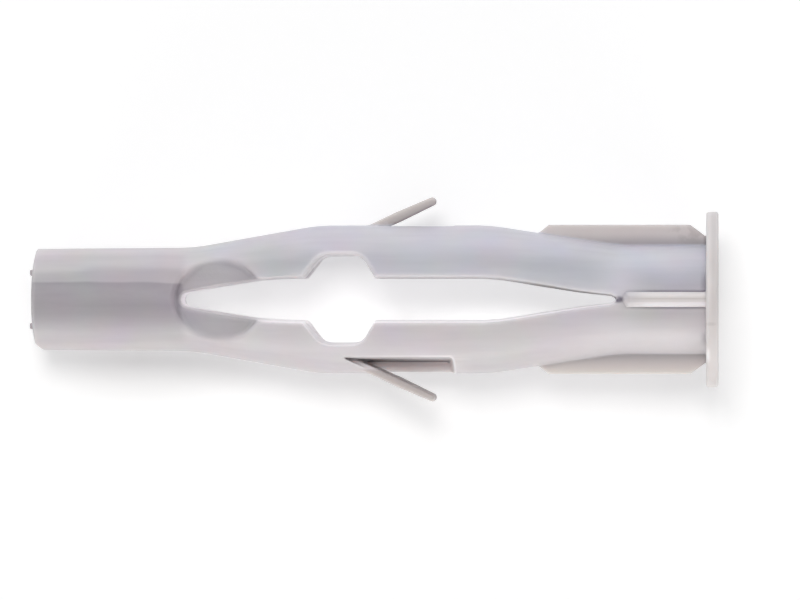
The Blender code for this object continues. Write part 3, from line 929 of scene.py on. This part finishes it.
in_neck = step_between(along, 42.4, 45.5)
on_rib = in_neck * step_between(abs(up), NECK_RADIUS + 0.02, NECK_RADIUS + 0.14)
beside_rib = in_neck * (1.0 - on_rib)
neck_depth = 0.11 + 0.16 * step_between(across, -0.5, 0.5)
neck_shade = neck_depth * beside_rib * (1.0 - step_between(abs(across), 0.6, 3.2))

# %% [markdown]
# Short dark lines go with the shade, where light is lost in narrow corners: along the feet of the ribs, in
# the thin end of the gap, in two places under the collar and round the rim of the nose.

# %% Dark lines in the corners
on_collar = step_between(along, COLLAR_FACE - 0.1, COLLAR_FACE + 0.1)
rib_foot = 0.33 * beside_rib * (1.0 - step_between(abs(across), 0.58, 0.78))
gap_tip = 0.75 * (1.0 - step_between(from_place(SLOT_END + 0.15, 0.0, 0.6), 0.1, 0.34))
foot_places = band(across, 0.4, 0.9, 1.2, 2.2) + band(across, -3.6, -3.0, -2.7, -2.2)
foot_places = 0.22 * (1.0 - on_collar) * foot_places
collar_foot = step_between(along, COLLAR_FACE - 0.55, COLLAR_FACE - 0.1) * foot_places
nose_line = 0.4 * (1.0 - step_between(along, 0.0, 0.3)) * (1.0 - step_between(abs(across), 2.2, 3.4))

outer_skin = step_between(abs(up), 1.6, 2.4)
corners = rib_foot + gap_tip + collar_foot
colour = mixed_colour(outer_skin * (hollow_shade + neck_shade + corners) + nose_line, colour, SHADE)

# %% [markdown]
# ## Ribs and collar
#
# Thin forms glow, so the ribs and the collar get a painted glow that makes them paler than the body. The
# bevels of a rib get a painted highlight, paler still, and a fine line of painted shade lies between them
# along the crest. The collar's rim has a small dark speck on its crest, a slightly darker outer half, and one
# pale patch on the lower part of its inner edge.

# %% Paint of the ribs and collar
PALE_NYLON = (0.70, 0.665, 0.66, 1.0)
BEVEL_HIGHLIGHT = (0.88, 0.84, 0.87, 1.0)
RIB_CREST_SHADE = (0.2, 0.17, 0.15, 1.0)
SPECK = (0.30, 0.27, 0.27, 1.0)
BLACK = (0.0, 0.0, 0.0, 1.0)
PALE_PATCH_NYLON = (0.95, 0.94, 0.94, 1.0)

# Painted glow: the ribs and the collar are painted paler than the body.
colour = mixed_colour(on_rib + on_collar, colour, PALE_NYLON)
rib_crest = on_rib * (1.0 - on_collar)
# Painted highlights on both bevels, stronger on the lower one, and a painted shade along the middle of the
# crest.
lit_bevels = 0.6 * step_between(across, 0.2, 0.34) + 1.8 * (1.0 - step_between(across, -0.24, -0.12))
colour = mixed_colour(0.4 * rib_crest * lit_bevels, colour, BEVEL_HIGHLIGHT)
colour = mixed_colour(0.2 * rib_crest * band(across, -0.04, 0.04, 0.06, 0.16), colour, RIB_CREST_SHADE)
from_speck = from_place(COLLAR_FACE + 0.35, -1.77, 0.35)
speck = 0.2 * on_collar * step_between(up, 5.5, 6.0) * (1.0 - step_between(from_speck, 0.04, 0.2))
colour = mixed_colour(speck, colour, SPECK)
outer_half = on_collar * step_between(along, COLLAR_FACE + 0.2, COLLAR_FACE + 0.5)
colour = mixed_colour(0.11 * outer_half * step_between(across, -2.5, 0.5), colour, BLACK)
# A pale patch on the lower part of the collar's inner edge.
inner_half = on_collar * (1.0 - step_between(along, COLLAR_FACE + 0.1, COLLAR_FACE + 0.4))
colour = mixed_colour(0.7 * inner_half * band(across, -4.7, -4.1, -3.9, -3.3), colour, PALE_PATCH_NYLON)

# %% [markdown]
# ## Fins, barbs, pockets and gap
#
# The fins and barbs are warmer than the body. The fins' roots get a painted shade, lighter on the lower, lit
# side, and the lower fin a painted highlight along the edge that faces the light; the barbs get a painted
# shade on their inner side. The upper fin is darker in patches beside the collar. Here the masks on the
# vertices come in, each with its own grey, and the glow of the gap's walls is a small light of their own.

# %% Paint by the masks
CREST_NYLON = (0.57, 0.52, 0.51, 1.0)
ROOT_SHADE = (0.28, 0.25, 0.27, 1.0)
LIT_ROOT_SHADE = (0.36, 0.33, 0.335, 1.0)
LIT_EDGE = (0.67, 0.63, 0.60, 1.0)
PATCH_NYLON = (0.25, 0.22, 0.2, 1.0)
BARB_INSIDE_SHADE = (0.36, 0.32, 0.32, 1.0)
BARB_OUTSIDE = (0.55, 0.505, 0.485, 1.0)
POCKET_WALL_SHADE = (0.17, 0.145, 0.145, 1.0)
POCKET_FLOOR_NYLON = (0.80, 0.75, 0.755, 1.0)
RIM_HIGHLIGHT = (0.90, 0.865, 0.88, 1.0)
DARK_WALL = (0.27, 0.255, 0.25, 1.0)
LIGHT_WALL = (0.74, 0.71, 0.73, 1.0)
LIGHT_THROUGH = (0.42, 0.41, 0.42, 1.0)

# Painted shade at the fins' roots, lighter on the lower, lit side, and a painted highlight along the lower
# fin's edge.
root_shade_colour = mixed_colour(step_between(across, -1.0, 1.0), LIT_ROOT_SHADE, ROOT_SHADE)
fin_colour = mixed_colour(step_between(abs(across), 3.9, 4.9), root_shade_colour, CREST_NYLON)
fin_colour = mixed_colour(1.0 - step_between(across, -5.4, -4.6), fin_colour, LIT_EDGE)
# Darker patches on the upper fin beside the collar.
dark_patches = step_between(noise(own, 1.4, 2.0), 0.42, 0.6) * step_between(along, 46.0, 47.6)
fin_colour = mixed_colour(0.3 * dark_patches * step_between(across, 0.0, 1.0), fin_colour, PATCH_NYLON)
# Painted shade on the inner side of each barb.
barb_colour = mixed_colour(barb_inside_shade, BARB_OUTSIDE, BARB_INSIDE_SHADE)
# Among these, the rims get a painted highlight, the pockets' walls and the upper leg's wall of the gap a
# painted shade, and the other walls of the gap painted light.
finishes_and_painted_light = [
    (rim_highlight_mask, RIM_HIGHLIGHT),
    (pocket_floor, POCKET_FLOOR_NYLON),
    (pocket_wall, POCKET_WALL_SHADE),
    (0.85 * dark_wall, DARK_WALL),
    (0.9 * light_wall, LIGHT_WALL),
    (0.9 * fin_mask, fin_colour),
    (0.9 * barb_mask, barb_colour),
]
for mask, finish in finishes_and_painted_light:
    colour = mixed_colour(mask, colour, finish)
tree.links.new(colour.socket, shader.inputs["Base Color"])
tree.links.new(mixed_colour(glowing, BLACK, LIGHT_THROUGH).socket, shader.inputs["Emission Color"])
shader.inputs["Emission Strength"].default_value = 1.0
print("the nylon takes", len(tree.nodes), "nodes")

# %% [markdown]
# ## Gloss and grain
#
# A satin mould leaves a fine even grain, and handling leaves patches that shine a little more. The grain is
# a bump far too shallow to show in the outline, and the patches only vary the roughness. Light goes about a
# millimetre deep into the nylon and comes back a little warmer.

# %% Gloss, grain and depth
tree.links.new((0.36 + 0.16 * noise(own, 0.7, 3.0)).socket, shader.inputs["Roughness"])
height = noise(own, 9.0, 4.0) + 2.0 * noise(own, 1.1, 1.0)
bump = add_node(tree, "ShaderNodeBump", {}, {"Strength": 0.25, "Distance": 0.00004, "Height": height})
tree.links.new(bump.socket, shader.inputs["Normal"])
shader.inputs["Subsurface Weight"].default_value = 0.8
shader.inputs["Subsurface Radius"].default_value = (1.0, 0.9, 0.85)
shader.inputs["Subsurface Scale"].default_value = 0.0009
shader.inputs["IOR"].default_value = 1.53
skin.materials.clear()
skin.materials.append(nylon)

# %% [markdown]
# ## The paper
#
# The photograph looks straight down on white paper. The paper is a large plane that is matt white and shows
# a little brighter to the camera, so it clips to white where no shadow lies, and far away it is white
# altogether. Light itself doesn't meet that glow, so it can't tint the plug. In the gap the glow is a
# little stronger, since light comes through the nylon on both sides, and a few soft patches give the paper
# the photograph's shades.

# %% The paper and its glow
PAPER_REACH = 4.0
PAPER_GLOW = 0.26
GAP_GLOW = 0.10
# Painted light and painted shadow on the paper: a positive strength lightens it, and the negative one is a
# painted shadow under the barrel.
PAPER_LIGHT_AND_SHADOW = [
    (0.13, 0.0095, -0.0018, 0.0090, 0.0019),
    (0.05, -0.0122, -0.0002, 0.0045, 0.0017),
    (0.04, 0.0150, -0.0068, 0.0130, 0.0026),
    (-0.14, -0.0168, -0.0056, 0.0108, 0.0026),
]

paper_corners = [(PAPER_REACH * x, PAPER_REACH * y, 0.0) for x, y in ((-1, -1), (1, -1), (1, 1), (-1, 1))]
paper = bpy.data.objects.new("paper", mesh_from("paper", paper_corners, [(0, 1, 2, 3)]))
bpy.context.scene.collection.objects.link(paper)
white = bpy.data.materials.new("white_paper")
white.use_nodes = True
paper_tree = white.node_tree
paper_shader = paper_tree.nodes["Principled BSDF"]
paper_shader.inputs["Base Color"].default_value = (0.9, 0.9, 0.9, 1.0)
paper_shader.inputs["Roughness"].default_value = 0.9
paper_shader.inputs["Emission Color"].default_value = (1.0, 1.0, 1.0, 1.0)


def looked_at(tree):
    """One for rays from the camera, straight or by way of a mirror or glass, and zero for light itself."""
    straight = add_node(tree, "ShaderNodeLightPath", output="Is Camera Ray")
    return straight + straight.beside("Is Glossy Ray") + straight.beside("Is Transmission Ray")


on_paper = add_node(paper_tree, "ShaderNodeTexCoord", output="Object")


def from_ellipse(x, y, half_length, half_width):
    """How far the paper's point is from an ellipse's middle, as a share of its half sizes, in metres."""
    place = (-x / half_length, -y / half_width, 0.0)
    scale = (1 / half_length, 1 / half_width, 1.0)
    inputs = {"Vector": on_paper, "Location": place, "Scale": scale}
    moved = add_node(paper_tree, "ShaderNodeMapping", {}, inputs)
    return add_node(paper_tree, "ShaderNodeVectorMath", {"operation": "LENGTH"}, {0: moved}, "Value")


glow = PAPER_GLOW + (1.0 - PAPER_GLOW) * step_between(from_ellipse(0.0, 0.0, 1.0, 1.0), 0.06, 0.3)
glow = glow + GAP_GLOW * (1.0 - step_between(from_ellipse(0.0018, -0.0007, 0.022, 0.0036), 0.7, 1.0))
for strength, *ellipse in PAPER_LIGHT_AND_SHADOW:
    glow = glow + strength * (1.0 - step_between(from_ellipse(*ellipse), 0.2, 1.0))
paper_tree.links.new((glow * looked_at(paper_tree)).socket, paper_shader.inputs["Emission Strength"])
paper.data.materials.append(white)

# %% [markdown]
# ## The lamps and the room
#
# Soft daylight comes from above, a little from the upper side, and gives the faint shadow to the lower
# right. Two long low lamps light the flanks, the lower one warmer and stronger. A lamp's power grows with
# the square of its distance, so a lamp is given by the level that it should reach on the plug. An even pale
# world fills the rest, and it too is white to the camera.

# %% The lamps
def soft_lamp(name, place, size, level, colour):
    """A lamp that faces the plug: its power is the level times the square of pi times its distance."""
    lamp = bpy.data.lights.new(name, "AREA")
    lamp.shape = "RECTANGLE"
    lamp.size, lamp.size_y = size
    lamp.energy = level * (math.pi * Vector(place).length) ** 2
    lamp.color = colour
    made = bpy.data.objects.new(name, lamp)
    made.location = place
    made.rotation_euler = (-Vector(place)).to_track_quat("-Z", "Y").to_euler()
    bpy.context.scene.collection.objects.link(made)
    print("the lamp", name, "gives", round(lamp.energy, 2), "watts")


soft_lamp("daylight", (-0.10, 0.34, 1.0), (0.36, 0.36), 0.38, (1.0, 0.99, 0.97))
soft_lamp("upper_side", (0.0, 0.5, 0.10), (0.9, 0.14), 0.28, (0.90, 0.93, 1.0))
soft_lamp("lower_side", (0.0, -0.5, 0.10), (0.9, 0.14), 0.54, (1.0, 0.98, 0.95))

# %% The room
ROOM_LEVEL = 0.42
ROOM_COLOUR = (0.98, 0.985, 1.0, 1.0)
world = bpy.data.worlds.new("pale_room")
bpy.context.scene.world = world
world.use_nodes = True
background = world.node_tree.nodes["Background"]
background.inputs["Color"].default_value = ROOM_COLOUR
room = ROOM_LEVEL + (1.0 - ROOM_LEVEL) * looked_at(world.node_tree)
world.node_tree.links.new(room.socket, background.inputs["Strength"])

# %% [markdown]
# ## The camera
#
# It hangs straight above the plug, far enough away that the sides hardly show, and its lens is worked out
# from the size of a pixel at the height of the plug's axis.

# %% Camera and colours
MM_PER_PIXEL = 0.07305
IMAGE_WIDTH = 800
SENSOR_WIDTH = 36.0
CAMERA_HEIGHT = 420.0
AXIS_HEIGHT = 5.1
CAMERA_PLACE = (1.80, -0.04)
camera_data = bpy.data.cameras.new("from_above")
camera_data.sensor_width = SENSOR_WIDTH
camera_data.lens = SENSOR_WIDTH * CAMERA_HEIGHT / (MM_PER_PIXEL * IMAGE_WIDTH)
camera_data.clip_start = 0.05
camera_data.clip_end = 20.0
camera = bpy.data.objects.new("from_above", camera_data)
camera.location = Vector((*CAMERA_PLACE, CAMERA_HEIGHT + AXIS_HEIGHT)) * MM
bpy.context.scene.collection.objects.link(camera)
bpy.context.scene.camera = camera
bpy.context.scene.view_settings.view_transform = "Standard"
print("the lens is", round(camera_data.lens, 1), "mm")
